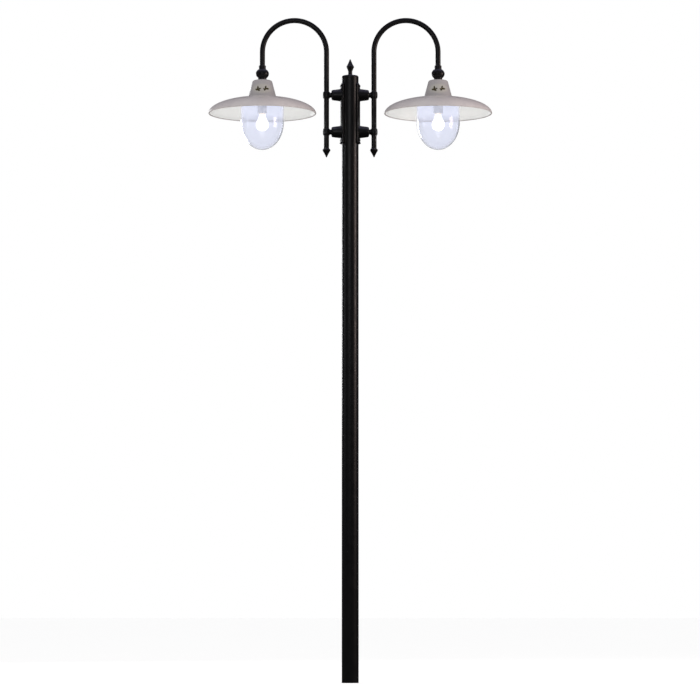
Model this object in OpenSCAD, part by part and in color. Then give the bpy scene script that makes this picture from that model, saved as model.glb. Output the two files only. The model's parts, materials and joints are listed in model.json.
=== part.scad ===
/* [Pole] */
// Outside diameter of the pole tube
pole_d = 80; // [72:1:96]
// Wall thickness of the pole tube
pole_wall = 3; // [2:0.5:4]
// Height of the pole tube, from its open foot to its top edge
pole_h = 2875; // [2000:5:3600]
// Height of the cap above the top edge of the tube
cap_h = 17.5; // [14:0.5:30]
// Radius that rounds the upper edge of the cap
cap_edge = 9; // [4:1:12]
// Depth of the cap's spigot inside the tube
cap_spigot = 20; // [12:1:30]
// Wall thickness of the cap's spigot
cap_wall = 5; // [3:1:8]

/* [Pointed ends] */
// Diameter of the rim on the finial and on the arm tips
point_d = 37.5; // [34:0.5:46]
// Length of the finial's cone, from its rim to its point
point_h = 35; // [25:1:45]
// Length of an arm tip's cone, from its rim to its point
tip_h = 31.5; // [25:0.5:45]
// Diameter of the finial's neck
finial_neck_d = 20; // [17:0.5:24]
// Height of the finial's neck and bowl, from the cap to the rim
finial_stand = 43; // [32:1:55]

/* [Brackets] */
// Distance from the top edge of the tube down to the top of a saddle
saddle_drop = 20; // [10:1:60]
// Height of a saddle
saddle_h = 292; // [270:1:340]
// Thickness of a saddle
saddle_t = 7.2; // [6.6:0.2:12]
// How far the lip at the saddle's foot stands out
saddle_lip = 3.2; // [1:0.2:4]
// Half of the angle that a saddle wraps round the pole
saddle_half_angle = 45; // [42:1:60]
// Distance from a saddle's top down to its upper bolt
bolt_margin_top = 15; // [12:0.5:17]
// Distance from the lower bolt down to the saddle's foot
bolt_margin_foot = 16.3; // [16:0.1:17]
// Distance from a saddle's top down to the upper boss's axis
boss_drop = 58; // [56:1:64]
// Distance between the two boss axes
boss_pitch = 178; // [150:1:200]
// Boss diameter where it leaves the saddle
boss_root_d = 63; // [56:1:66]
// Boss diameter at its outer end
boss_end_d = 50; // [44:1:56]
// Distance from the pole's surface to the outer end of a boss
boss_reach = 50.2; // [40:0.2:56]
// Radius that rounds the outer end of a boss
boss_edge = 8; // [3:1:12]
// Diameter of the bar between a boss and its eye
bar_d = 24; // [18:1:28]
// Distance from the pole's surface to the axis of an arm
arm_reach = 73.5; // [70:0.5:90]
// Height of the eye that holds an arm
eye_h = 32; // [26:1:40]
// Wall of the eye at its middle
eye_wall = 5.2; // [4:0.2:8]
// How much thinner the eye's wall is at its two ends
eye_barrel = 2; // [0:0.2:3]

/* [Arms] */
// Outside diameter of the arm tube
arm_d = 25; // [20:0.5:30]
// Wall thickness of the arm tube
arm_wall = 2.5; // [1.5:0.5:3]
// Height of the crook's centre above the upper eye
arm_rise = 207.5; // [150:0.5:300]
// Length of the tube below the lower eye's centre
arm_tail = 77.5; // [45:0.5:120]
// Radius of the crook, to the tube's axis
crook_r = 153.5; // [140:0.5:200]
// Length of the straight tube between the crook and the collar
lamp_drop = 65; // [40:1:120]

/* [Knuckle] */
// Height of the collar above the knuckle
collar_h = 18.5; // [12:0.5:26]
// Wall of the collar round the tube
collar_wall = 4.45; // [3:0.05:7]
// Diameter of the knuckle's ball
ball_d = 63.5; // [58:0.5:74]
// Height that the ball would have without its two flats
ball_h = 52.6; // [50:0.2:60]
// Diameter of the knuckle's lower neck
knuckle_neck_d = 40; // [36:1:44]
// Depth of the tube inside the knuckle
arm_socket = 13; // [8:1:14]

/* [Shade] */
// Diameter of the shade
shade_d = 518; // [420:2:620]
// Height of the whole shade, from its rim to the top of its neck
shade_h = 162; // [150:1:200]
// Height of the shade's dome, from its rim to where the dome would close
dome_h = 80; // [60:1:92]
// Thickness of the shade's wall
shade_wall = 7; // [5:0.5:8]
// Diameter of the neck below its rounded top edge
neck_top_d = 96; // [86:1:104]
// Diameter of the neck at its root on the dome
neck_root_d = 136; // [126:1:150]
// Radius that rounds the top edge of the neck
neck_edge = 11; // [8:1:12]

/* [Globe] */
// Outside diameter of the glass globe
globe_d = 206; // [180:2:230]
// Wall thickness of the glass
glass_wall = 4; // [3:0.5:5]
// How far the globe hangs below the shade's rim
globe_drop = 172; // [150:1:210]
// Height of the globe's round bottom
globe_bowl_h = 130; // [100:1:140]
// Height of the globe's shoulder
globe_shoulder_h = 24; // [18:1:30]
// Height above the rim where the straight side ends
globe_side_top = 42; // [30:1:44]
// Outside diameter of the globe's threaded neck
globe_neck_d = 84.5; // [80:0.5:88]
// Height of the globe's threaded neck
globe_neck_h = 22; // [16:1:24]
// Wall thickness of the globe holder
holder_wall = 2.5; // [1.5:0.5:4]

/* [Lampholder and bulb] */
// Outside diameter of the stem
stem_d = 13; // [12:0.5:15]
// Diameter of the stem's bore
stem_bore = 8.4; // [7.4:0.2:9]
// Outside diameter of the lampholder
lampholder_d = 46; // [40:1:52]
// Height of the lampholder
lampholder_h = 77; // [70:1:84]
// Diameter of the bulb's screw cap
bulb_cap_d = 26.2; // [26:0.1:26.4]
// Length of the bulb's screw cap
bulb_cap_h = 23; // [21:0.5:25]
// Diameter of the bulb
bulb_d = 60; // [50:1:66]
// Length of the whole bulb
bulb_l = 107; // [98:1:115]
// Diameter of the electric leads
lead_d = 6; // [5:0.2:7]

/* [Fits] */
// Gap between two fixed pieces that fit round one another
seat_gap = 0.3; // [0.2:0.05:0.4]
// Gap round a shaft that turns in its bore
turn_gap = 0.05; // [0.03:0.01:0.09]
// Swivel of an arm to either side that the openings allow for
swivel = 45; // [10:1:50]

/* [Fasteners and wiring] */
// Diameter of the saddle bolts and of the eye screws
bolt_d = 8; // [6:1:10]
// Height of the dome of a saddle bolt or its cap nut
bolt_dome_h = 3.6; // [3:0.2:5]
// Thickness of the saddle washers
washer_t = 1.4; // [1:0.2:2]
// Width of the gear tray
tray_w = 44; // [38:1:48]
// Length of the gear tray below its bolt
tray_l = 140; // [110:1:180]
// Thickness of the gear tray
tray_t = 2; // [1.5:0.5:3]
// Width of the terminal block
block_w = 40; // [34:1:42]
// Depth of the terminal block
block_depth = 16.5; // [14:0.5:20]
// Height of the terminal block
block_h = 24; // [18:1:30]

/* [Hidden] */
$fn = 96;

iron = [0.10, 0.10, 0.10];
steel = [0.72, 0.72, 0.70];
brass = [0.76, 0.62, 0.32];
rubber = [0.08, 0.08, 0.08];
glaze = [0.86, 0.83, 0.80];
porcelain = [0.94, 0.93, 0.90];
clear = [0.85, 0.90, 0.95, 0.35];
opal = [1.00, 0.97, 0.88];
lead_grey = [0.35, 0.35, 0.36];
tan = [0.78, 0.72, 0.60];

// A little more than a face, so that a cut always passes right through it
past = 1;
pole_r = pole_d / 2;
bore_r = pole_r - pole_wall;
cap_z = pole_h + cap_h;
point_r = point_d / 2;
// Soft corners on the rims of the pointed ends
rim_edge = 2.4;
stud_r = 6;
stud_h = 16;

saddle_top = pole_h - saddle_drop;
saddle_foot = saddle_top - saddle_h;
saddle_in = pole_r + seat_gap;
saddle_out = saddle_in + saddle_t;
// The saddle's top fades into the pole over this height
fade_h = 12;
lip_h = 7;
lip_out = saddle_out + saddle_lip;
fade_t = 2;
bolt_z = [saddle_top - bolt_margin_top, saddle_foot + bolt_margin_foot];
washer_r = bolt_d;
spot_x = saddle_out - 3.5;
spot_r = washer_r + 0.4;
bolt_r = bolt_d / 2;
bolt_hole_r = bolt_r + seat_gap;
dome_r = 0.85 * bolt_d;

boss_z = [saddle_top - boss_drop, saddle_top - boss_drop - boss_pitch];
boss_x0 = 0.8 * pole_r;
boss_x1 = pole_r + boss_reach;
arm_x = pole_r + arm_reach;
arm_r = arm_d / 2;
arm_in = arm_r - arm_wall;
eye_bore_r = arm_r + turn_gap;
eye_out = eye_bore_r + eye_wall;
lead_r = lead_d / 2;
lead_bore_r = 2 * lead_r;
lead_z = boss_z[0];
screw_tip = arm_r + seat_gap;
screw_end = eye_out + 2.5;

crook_z = boss_z[0] + arm_rise;
lamp_x = arm_x + 2 * crook_r;
arm_foot = boss_z[1] - arm_tail;
collar_top = crook_z - lamp_drop;
knuckle_top = collar_top - collar_h;
// Height of the flat above the ball's centre, where the collar sits on the knuckle
flat_r = arm_r + collar_wall + 2;
ball_r = ball_d / 2;
flat_rise = ball_h / 2 * sqrt(1 - pow(flat_r / ball_r, 2));
ball_z = knuckle_top - flat_rise;
knuckle_neck_h = 9.5;
ball_foot = ball_z - ball_h / 2 * sqrt(1 - pow(knuckle_neck_d / ball_d, 2));
knuckle_foot = ball_foot - knuckle_neck_h;
gasket_t = 2;
neck_z = knuckle_foot - gasket_t;
rim_z = neck_z - shade_h;
shade_r = shade_d / 2;
neck_top_t = shade_wall + 1;
stem_r = stem_d / 2;
stem_hole_r = stem_r + seat_gap;
// Depth of the stem inside the knuckle and inside the lampholder
stem_grip_top = 21;
stem_grip = 12;
// Across flats of the nuts on the stem
clamp_nut_af = 24;
clamp_nut_h = 10;
holder_nut_h = 6;
clamp_washer_t = 3;

globe_r = globe_d / 2;
globe_neck_r = globe_neck_d / 2;
shoulder_z = rim_z + globe_side_top + globe_shoulder_h;
globe_top = shoulder_z + globe_neck_h;
seal_t = 3.7;
holder_z = globe_top + seat_gap + seal_t;
holder_plate_t = 3;
holder_in = globe_neck_r + seat_gap;
holder_out = holder_in + holder_wall;
holder_foot = shoulder_z + 2.5;

bulb_top = rim_z + 26;
bulb_foot = bulb_top - bulb_l;
cap_foot = bulb_top - 4 - bulb_cap_h;
cap_r = bulb_cap_d / 2;
shell_in = cap_r + seat_gap + 0.1;
shell_out = shell_in + 1.4;
mouth_z = rim_z + 1;
web_z = bulb_top + 4;
web_t = 6;
lampholder_top = mouth_z + lampholder_h;
lampholder_r = lampholder_d / 2;
stem_foot = lampholder_top - stem_grip;
stem_top = knuckle_foot + stem_grip_top;
lead_foot = web_z + web_t + seat_gap;

window_h = lead_d + 2;
window_half_angle = swivel + 20;

tray_roll = 2.5;
tray_y = bolt_r + 0.3;
block_y = tray_y - block_depth;
grommet_hole_r = lead_r + 5;
grommet_x1 = sqrt(pow(pole_r, 2) - pow(grommet_hole_r, 2)) - 0.2;
grommet_x0 = sqrt(pow(bore_r, 2) - pow(grommet_hole_r + 3, 2)) - 0.2;

// Points along a part of an ellipse
function oval(cx, cy, rx, ry, from, to, n) =
    [for (i = [0:n]) let (a = from + (to - from) * i / n) [cx + rx * cos(a), cy + ry * sin(a)]];
function arc(cx, cy, r, from, to, n) = oval(cx, cy, r, r, from, to, n);

// A cone with slightly hollow sides and a blunt nose, from a rim at height 0 to its point
function cone_side(r, h, nose, dip, n) =
    [for (i = [0:n]) let (t = i / n) [r + (nose - r) * t - dip * 4 * t * (1 - t), (h - nose / 2) * t]];
function lifted(points, z) = [for (p = points) [p[0], p[1] + z]];

// The solid that a profile of radius and height sweeps round the Z axis
module turned(profile) {
    rotate_extrude() polygon(profile);
}

// The same, round the X axis, with the profile's height along +X
module turned_x(profile) {
    rotate([0, 90, 0]) rotate_extrude() polygon(profile);
}

// A cylinder along +X from one x to another
module rod_x(r, from, to) {
    translate([from, 0, 0]) rotate([0, 90, 0]) cylinder(r = r, h = to - from);
}

module ring(r_out, r_in, from, to) {
    difference() {
        translate([0, 0, from]) cylinder(r = r_out, h = to - from);
        translate([0, 0, from - past]) cylinder(r = r_in, h = to - from + 2 * past);
    }
}

// Draws its children on the right, or mirrored on the left
module side(name) {
    if (name == "left") mirror([1, 0, 0]) children();
    else children();
}

module at_lamp() {
    translate([lamp_x, 0, 0]) children();
}

module hex_nut(af, bore, from, to) {
    difference() {
        translate([0, 0, from]) cylinder(d = af / cos(30), h = to - from, $fn = 6);
        translate([0, 0, from - past]) cylinder(r = bore, h = to - from + 2 * past);
    }
}

module pole_tube() {
    color(iron) difference() {
        cylinder(r = pole_r, h = pole_h);
        translate([0, 0, -past]) cylinder(r = bore_r, h = pole_h + 2 * past);
        for (z = bolt_z)
            translate([0, 0, z]) rod_x(bolt_hole_r, -pole_r - past, pole_r + past);
        translate([0, 0, lead_z]) rod_x(grommet_hole_r, -pole_r - past, pole_r + past);
    }
}

module pole_cap() {
    spigot_r = bore_r - seat_gap;
    crown = 2.5;
    color(iron) turned(concat(
        [[stud_r + seat_gap, cap_z], [pole_r - cap_edge - 8, cap_z - crown / 3]],
        arc(pole_r - cap_edge, cap_z - cap_edge - crown, cap_edge, 80, 0, 6),
        [[pole_r, pole_h], [spigot_r, pole_h], [spigot_r, pole_h - cap_spigot],
         [spigot_r - cap_wall, pole_h - cap_spigot], [spigot_r - cap_wall, pole_h],
         [stud_r + seat_gap, pole_h + 2]]
    ));
}

module pole_finial() {
    neck_r = finial_neck_d / 2;
    rim = cap_z + finial_stand;
    bowl_foot = cap_z + finial_stand / 2;
    color(iron) turned(concat(
        [[0, cap_z - stud_h], [stud_r, cap_z - stud_h], [stud_r, cap_z], [neck_r + 2, cap_z],
         [neck_r + 2, cap_z + 2], [neck_r, cap_z + 5], [neck_r, bowl_foot - 2], [neck_r + 1, bowl_foot + 1]],
        arc(point_r - rim_edge, rim - rim_edge, rim_edge, -60, 45, 4),
        lifted(cone_side(point_r - 1.2, point_h, 2.5, 0.9, 6), rim),
        [[0, rim + point_h]]
    ));
}

// The casting on the +X side of the pole: saddle, two bosses, two bars and two eyes.
// Its eye screws enter from +Y where back is 1, and from -Y where it is -1.
module bracket(back) {
    fade = [for (i = [0:6]) let (t = i / 6)
        [saddle_in + fade_t + (saddle_t - fade_t) * (1 + cos(180 * t)) / 2,
         saddle_top - fade_h + (fade_h - 2) * t]];
    saddle = concat(
        [[bore_r, saddle_top], [bore_r, saddle_foot], [lip_out - 1, saddle_foot], [lip_out, saddle_foot + 1],
         [lip_out, saddle_foot + lip_h / 2], [saddle_out, saddle_foot + lip_h]],
        fade,
        [[saddle_in + fade_t - 1, saddle_top]]
    );
    boss = concat(
        [[0, boss_x0], [boss_root_d / 2, boss_x0]],
        arc(boss_end_d / 2 - boss_edge, boss_x1 - boss_edge, boss_edge, 8, 90, 5),
        [[0, boss_x1]]
    );
    half = eye_h / 2;
    eye = concat(
        [[0, -half]],
        [for (t = [-1, -0.7, -0.35, 0.35, 0.7, 1]) [eye_out - eye_barrel * t * t, half * t]],
        [[0, half]]
    );
    difference() {
        union() {
            rotate([0, 0, -saddle_half_angle])
                rotate_extrude(angle = 2 * saddle_half_angle) polygon(saddle);
            for (z = boss_z) {
                translate([0, 0, z]) turned_x(boss);
                translate([0, 0, z]) rod_x(bar_d / 2, boss_x1 - past, arm_x);
                translate([arm_x, 0, z]) turned(eye);
            }
        }
        translate([0, 0, saddle_foot - past]) cylinder(r = saddle_in, h = saddle_h + 2 * past);
        for (z = boss_z) {
            translate([arm_x, 0, z - eye_h]) cylinder(r = eye_bore_r, h = 2 * eye_h);
            translate([arm_x, 0, z]) rotate([-90 * back, 0, 0]) cylinder(r = bolt_r + 0.1, h = 2 * eye_out);
        }
        for (z = bolt_z) translate([0, 0, z]) {
            rod_x(bolt_hole_r, pole_r - past, boss_x1);
            rod_x(spot_r, spot_x, boss_x1);
        }
        translate([0, 0, lead_z]) rod_x(lead_bore_r, pole_r - past, arm_x);
    }
}

module saddle_bolts() {
    under_head = spot_x + washer_t;
    color(iron) for (z = bolt_z) translate([0, 0, z]) {
        rod_x(bolt_r, -under_head, under_head + bolt_dome_h / 2);
        mirror([1, 0, 0]) translate([under_head, 0, 0]) turned_x(dome_profile(0));
    }
}

// Half the outline of a domed head, with a bore where the bolt's thread enters it
function dome_profile(bore) = concat(
    [[bore, 0], [dome_r, 0], [dome_r, 0.8]],
    oval(0, 0.8, dome_r, bolt_dome_h - 0.8, 15, 75, 5),
    bore > 0 ? [[0, bolt_dome_h], [0, bolt_dome_h / 2 + seat_gap], [bore, bolt_dome_h / 2 + seat_gap]]
             : [[0, bolt_dome_h]]
);

module saddle_nuts() {
    color(iron) for (z = bolt_z)
        translate([spot_x + washer_t, 0, z]) turned_x(dome_profile(bolt_r + 0.1));
}

module saddle_washers() {
    color(steel) for (z = bolt_z) for (way = ["left", "right"])
        side(way) translate([0, 0, z]) rotate([0, 90, 0]) ring(washer_r, bolt_hole_r, spot_x, spot_x + washer_t);
}

// One headless screw through the back of each eye, against the arm tube
module eye_set_screws() {
    socket = 2;
    color(iron) for (way = ["left", "right"]) side(way) for (z = boss_z)
        translate([arm_x, 0, z]) rotate([-90, 0, 0]) difference() {
            translate([0, 0, screw_tip]) cylinder(r = bolt_r, h = screw_end - screw_tip);
            translate([0, 0, screw_end - socket]) cylinder(r = bolt_r / 2, h = 2 * socket, $fn = 6);
        }
}

// A strip rolled round the upper saddle bolt at its top, which carries the terminals
module gear_tray() {
    color(steel) difference() {
        union() {
            translate([0, 0, bolt_z[0]]) rod_x(bolt_r + tray_roll, -tray_w / 2, tray_w / 2);
            translate([-tray_w / 2, tray_y, bolt_z[0] - tray_l]) cube([tray_w, tray_t, tray_l]);
        }
        translate([0, 0, bolt_z[0]]) rod_x(bolt_r + 0.5, -tray_w, tray_w);
    }
}

module terminal_block() {
    pitch = block_w / 4;
    color(porcelain) difference() {
        translate([-block_w / 2, block_y, lead_z - block_h / 2]) cube([block_w, block_depth, block_h]);
        for (i = [-1:1]) for (up = [-1, 1])
            translate([i * pitch, block_y, lead_z + up * block_h / 4]) rotate([90, 0, 0])
                cylinder(r = 3.2, h = 8, center = true);
    }
}

module terminal_screws() {
    pitch = block_w / 4;
    color(brass) for (i = [-1:1]) for (up = [-1, 1])
        translate([i * pitch, block_y + 4, lead_z + up * block_h / 4]) rotate([90, 0, 0]) difference() {
            cylinder(r = 2.9, h = 3);
            translate([-3, -0.4, 2]) cube([6, 0.8, 2]);
        }
}

// Flanged rubber rings in the two holes where the leads leave the pole
module lead_grommets() {
    color(rubber) for (way = ["left", "right"]) side(way) translate([0, 0, lead_z]) rotate([0, 90, 0]) {
        difference() {
            union() {
                translate([0, 0, grommet_x0]) cylinder(r = grommet_hole_r - 0.2, h = grommet_x1 - grommet_x0);
                translate([0, 0, grommet_x0 - 2]) cylinder(r = grommet_hole_r + 3, h = 2);
            }
            translate([0, 0, grommet_x0 - 4]) cylinder(r = lead_r + 0.3, h = 2 * grommet_x1);
        }
    }
}

// From the terminals through a boss to the axis of its arm
module bracket_lead() {
    color(lead_grey) translate([0, 0, lead_z]) rod_x(lead_r, block_w / 2, arm_x - lead_r - seat_gap);
}

// Up the arm, round the crook and down to an end above the lamp. Both straight lengths hang
// from the crook's centre line, so that they meet the curve exactly.
module crook(r, foot, end) {
    translate([arm_x + crook_r, 0, crook_z]) {
        translate([-crook_r, 0, 0]) rotate([180, 0, 0]) cylinder(r = r, h = crook_z - foot);
        translate([crook_r, 0, 0]) rotate([180, 0, 0]) cylinder(r = r, h = crook_z - end);
        rotate([90, 0, 0]) rotate_extrude(angle = 180) translate([crook_r, 0]) circle(r = r);
    }
}

module arm_tube() {
    end = knuckle_top - arm_socket;
    color(iron) difference() {
        crook(arm_r, arm_foot, end);
        crook(arm_in, arm_foot - past, end - past);
        // The window that lets the lead in while the arm swivels
        translate([arm_x, 0, lead_z - window_h / 2]) rotate([0, 0, 180 - window_half_angle])
            rotate_extrude(angle = 2 * window_half_angle)
                translate([arm_in - past, 0]) square([arm_wall + 2 * past, window_h]);
    }
}

module arm_lead() {
    color(lead_grey) crook(lead_r, lead_z - lead_r - 1, lead_foot);
}

// A plug in the foot of the arm tube, with a rim and a downward point
module arm_tip() {
    spigot_r = arm_in - seat_gap;
    rim = arm_foot - 13;
    color(iron) translate([arm_x, 0, 0]) mirror([0, 0, 1]) translate([0, 0, -arm_foot]) turned(concat(
        [[0, -18], [spigot_r, -18], [spigot_r, 0], [arm_r + 0.8, 0], [arm_r + 1.5, 3]],
        arc(point_r - rim_edge, 8, rim_edge, -50, 0, 3),
        lifted(cone_side(point_r, tip_h, 2.5, 0.9, 6), arm_foot - rim),
        [[0, arm_foot - rim + tip_h]]
    ));
}

module arm_collar() {
    r = arm_r + collar_wall;
    edge = 2.5;
    hole = arm_r + seat_gap;
    color(iron) at_lamp() turned(concat(
        [[hole, knuckle_top], [r, knuckle_top]],
        arc(r - edge, collar_top - edge, edge, 0, 90, 4),
        [[hole, collar_top]]
    ));
}

// The cast ball that takes the arm tube from above and the stem from below
module knuckle() {
    top_angle = asin(flat_rise / (ball_h / 2));
    foot_angle = acos(knuckle_neck_d / ball_d);
    tube_floor = knuckle_top - arm_socket;
    color(iron) at_lamp() turned(concat(
        [[stem_hole_r, knuckle_foot], [knuckle_neck_d / 2, knuckle_foot]],
        oval(0, ball_z, ball_r, ball_h / 2, -foot_angle, top_angle, 14),
        [[arm_r + seat_gap, knuckle_top], [arm_r + seat_gap, tube_floor], [arm_in, tube_floor],
         [arm_in, stem_top + 3], [stem_hole_r, stem_top]]
    ));
}

module shade_gasket() {
    color(rubber) at_lamp() ring(knuckle_neck_d / 2 - 1, stem_hole_r, neck_z, knuckle_foot);
}

// One ceramic piece: a bell-shaped neck on a shallow dome
module shade() {
    edge_z = shade_h - neck_edge;
    neck_r = neck_top_d / 2;
    root_r = neck_root_d / 2;
    root_angle = acos(root_r / shade_r);
    lean = atan((root_r - neck_r) / (edge_z - dome_h * sin(root_angle)));
    in_r = shade_r - shade_wall;
    in_h = dome_h - shade_wall;
    in_root = root_r - shade_wall;
    in_angle = acos(in_root / in_r);
    lip = shade_wall / 2;
    outer = concat(
        arc(neck_r - neck_edge, edge_z, neck_edge, 90, lean, 6),
        oval(0, 0, shade_r, dome_h, root_angle, 3, 22)
    );
    inner = concat(
        oval(0, 0, in_r, in_h, 3, in_angle, 20),
        arc(neck_r - shade_wall - 5, shade_h - neck_top_t - 5, 5, lean, 90, 4)
    );
    color(glaze) at_lamp() translate([0, 0, rim_z]) turned(concat(
        [[stem_r + 0.7, shade_h]], outer,
        arc(shade_r - lip, lip, lip, 0, -180, 6),
        inner, [[stem_r + 0.7, shade_h - neck_top_t]]
    ));
}

module inner_gasket() {
    under = neck_z - neck_top_t;
    color(rubber) at_lamp() ring(clamp_nut_af - 1, stem_hole_r, under - gasket_t, under);
}

module clamp_washer() {
    top = neck_z - neck_top_t - gasket_t;
    color(steel) at_lamp() ring(clamp_nut_af - 2, stem_hole_r, top - clamp_washer_t, top);
}

module clamp_nut() {
    top = neck_z - neck_top_t - gasket_t - clamp_washer_t;
    color(steel) at_lamp() hex_nut(clamp_nut_af, stem_hole_r, top - clamp_nut_h, top);
}

module stem() {
    color(steel) at_lamp() ring(stem_r, stem_bore / 2, stem_foot, stem_top);
}

// A spun cup whose skirt takes the globe's neck
module globe_holder() {
    color(steel) at_lamp() turned([
        [stem_hole_r, holder_z + holder_plate_t], [holder_out - 2, holder_z + holder_plate_t],
        [holder_out, holder_z + holder_plate_t - 2], [holder_out, holder_foot],
        [holder_in, holder_foot], [holder_in, holder_z], [stem_hole_r, holder_z]
    ]);
}

// One nut above and one below the plate of the globe holder
module holder_nuts() {
    top = holder_z + holder_plate_t;
    color(steel) at_lamp() {
        hex_nut(clamp_nut_af - 2, stem_hole_r, top, top + holder_nut_h);
        hex_nut(clamp_nut_af - 2, stem_hole_r, holder_z - holder_nut_h, holder_z);
    }
}

module globe_seal() {
    color(rubber) at_lamp() ring(holder_in - 0.5, globe_neck_r - glass_wall, holder_z - seal_t, holder_z);
}

module lampholder() {
    r = lampholder_r;
    cavity = r - 6;
    color(porcelain) at_lamp() turned([
        [shell_out + 0.2, mouth_z], [r - 1.5, mouth_z], [r, mouth_z + 1.5], [r, lampholder_top - 18],
        [r - 2, lampholder_top - 14], [stem_r + 6, lampholder_top], [stem_hole_r, lampholder_top],
        [stem_hole_r, stem_foot], [cavity, stem_foot - 2], [cavity, web_z + web_t],
        [0, web_z + web_t], [0, web_z], [shell_out + 0.2, web_z]
    ]);
}

module socket_shell() {
    color(brass) at_lamp() ring(shell_out, shell_in, mouth_z + 2, web_z);
}

module centre_contact() {
    foot = bulb_top + seat_gap;
    color(brass) at_lamp() translate([0, 0, foot]) cylinder(r = 4, h = web_z - foot);
}

// The glass bowl: a long round bottom, straight sides, a shoulder and a threaded neck
module globe() {
    t = glass_wall;
    side_foot = rim_z - globe_drop + globe_bowl_h;
    side_top = rim_z + globe_side_top;
    neck_in = globe_neck_r - t;
    shoulder_r = globe_neck_r + 3;
    color(clear) at_lamp() turned(concat(
        oval(0, side_foot, globe_r, globe_bowl_h, -90, 0, 16),
        oval(shoulder_r, side_top, globe_r - shoulder_r, globe_shoulder_h, 0, 84, 8),
        [[globe_neck_r, shoulder_z], [globe_neck_r, globe_top], [neck_in, globe_top]],
        [[neck_in, shoulder_z - t]],
        oval(shoulder_r, side_top, globe_r - shoulder_r - t, globe_shoulder_h - t, 84, 0, 8),
        oval(0, side_foot, globe_r - t, globe_bowl_h - t, 0, -90, 16)
    ));
}

// The opal glass of the bulb: a ball that draws in to a throat at the screw cap
module bulb_glass() {
    r = bulb_d / 2;
    centre = bulb_foot + r;
    throat = cap_r - 0.6;
    wall = 1.2;
    turn = 38;
    join_z = centre + r * sin(turn);
    color(opal) at_lamp() turned(concat(
        arc(0, centre, r, -90, turn, 14),
        [for (i = [1:5]) let (t = i / 5) [throat + (r * cos(turn) - throat) * pow(1 - t, 1.7),
                                          join_z + (cap_foot - join_z) * t]],
        [[throat - wall, cap_foot]],
        [for (i = [4:-1:1]) let (t = i / 5) [throat - wall + (r * cos(turn) - throat) * pow(1 - t, 1.7),
                                             join_z + (cap_foot - join_z) * t]],
        arc(0, centre, r - wall, turn, -90, 14)
    ));
}

module bulb_cap() {
    color(brass) at_lamp() ring(cap_r, cap_r - 0.5, cap_foot, cap_foot + bulb_cap_h);
}

// The insulator that closes the screw cap, with its contact on top
module bulb_tip() {
    top = cap_foot + bulb_cap_h;
    color(steel) at_lamp() turned([
        [0, top - 2], [cap_r - 0.8, top - 2], [cap_r - 0.8, top], [5, bulb_top - 1],
        [4, bulb_top], [0, bulb_top]
    ]);
}

pole_tube();
pole_cap();
pole_finial();
color(iron) rotate([0, 0, 180]) bracket(-1);  // bracket_left
color(iron) bracket(1);  // bracket_right
saddle_bolts();
saddle_washers();
saddle_nuts();
eye_set_screws();
gear_tray();
terminal_block();
terminal_screws();
lead_grommets();
side("left") bracket_lead();  // bracket_lead_left
side("right") bracket_lead();  // bracket_lead_right
for (way = ["left", "right"]) side(way) {
    arm_tube();
    arm_tip();
    arm_collar();
    knuckle();
    arm_lead();
    shade_gasket();
    shade();
    inner_gasket();
    clamp_washer();
    clamp_nut();
    stem();
    globe_holder();
    holder_nuts();
    globe_seal();
    lampholder();
    socket_shell();
    centre_contact();
    globe();
    bulb_glass();
    bulb_cap();
    bulb_tip();
}
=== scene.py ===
import json
import math

import bmesh
import bpy
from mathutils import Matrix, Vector, noise


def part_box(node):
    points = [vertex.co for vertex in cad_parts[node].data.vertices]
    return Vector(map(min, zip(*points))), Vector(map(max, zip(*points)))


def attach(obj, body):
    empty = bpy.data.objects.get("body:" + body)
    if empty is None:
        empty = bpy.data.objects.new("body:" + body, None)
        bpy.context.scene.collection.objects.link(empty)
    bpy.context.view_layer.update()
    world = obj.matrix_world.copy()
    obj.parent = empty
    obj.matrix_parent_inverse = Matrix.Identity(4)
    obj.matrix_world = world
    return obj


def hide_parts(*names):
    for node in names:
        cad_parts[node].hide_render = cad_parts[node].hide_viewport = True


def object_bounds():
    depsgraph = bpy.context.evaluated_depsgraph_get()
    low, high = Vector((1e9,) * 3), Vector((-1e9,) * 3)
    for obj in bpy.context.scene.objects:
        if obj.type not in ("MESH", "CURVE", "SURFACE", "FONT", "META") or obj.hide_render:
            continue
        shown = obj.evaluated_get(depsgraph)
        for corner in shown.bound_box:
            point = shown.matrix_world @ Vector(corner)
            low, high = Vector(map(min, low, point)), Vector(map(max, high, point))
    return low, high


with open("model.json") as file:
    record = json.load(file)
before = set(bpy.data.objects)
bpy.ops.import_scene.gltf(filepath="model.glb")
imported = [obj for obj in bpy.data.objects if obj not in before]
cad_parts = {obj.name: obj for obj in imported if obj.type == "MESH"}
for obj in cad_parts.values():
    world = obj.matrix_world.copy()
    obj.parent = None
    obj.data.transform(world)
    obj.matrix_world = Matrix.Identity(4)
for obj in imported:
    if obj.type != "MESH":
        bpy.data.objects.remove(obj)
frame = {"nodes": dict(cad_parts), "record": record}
cad_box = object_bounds()

NODES = frame["nodes"]
MM = 0.001
SIDES = ("left", "right")


# Profiles: lists of (radius, height) in millimetres

def arc(cx, cy, rx, ry, start, end, steps):
    """Points along part of an ellipse, from one angle to another in degrees."""
    points = []
    for i in range(steps + 1):
        a = math.radians(start + (end - start) * i / steps)
        points.append((cx + rx * math.cos(a), cy + ry * math.sin(a)))
    return points


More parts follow.
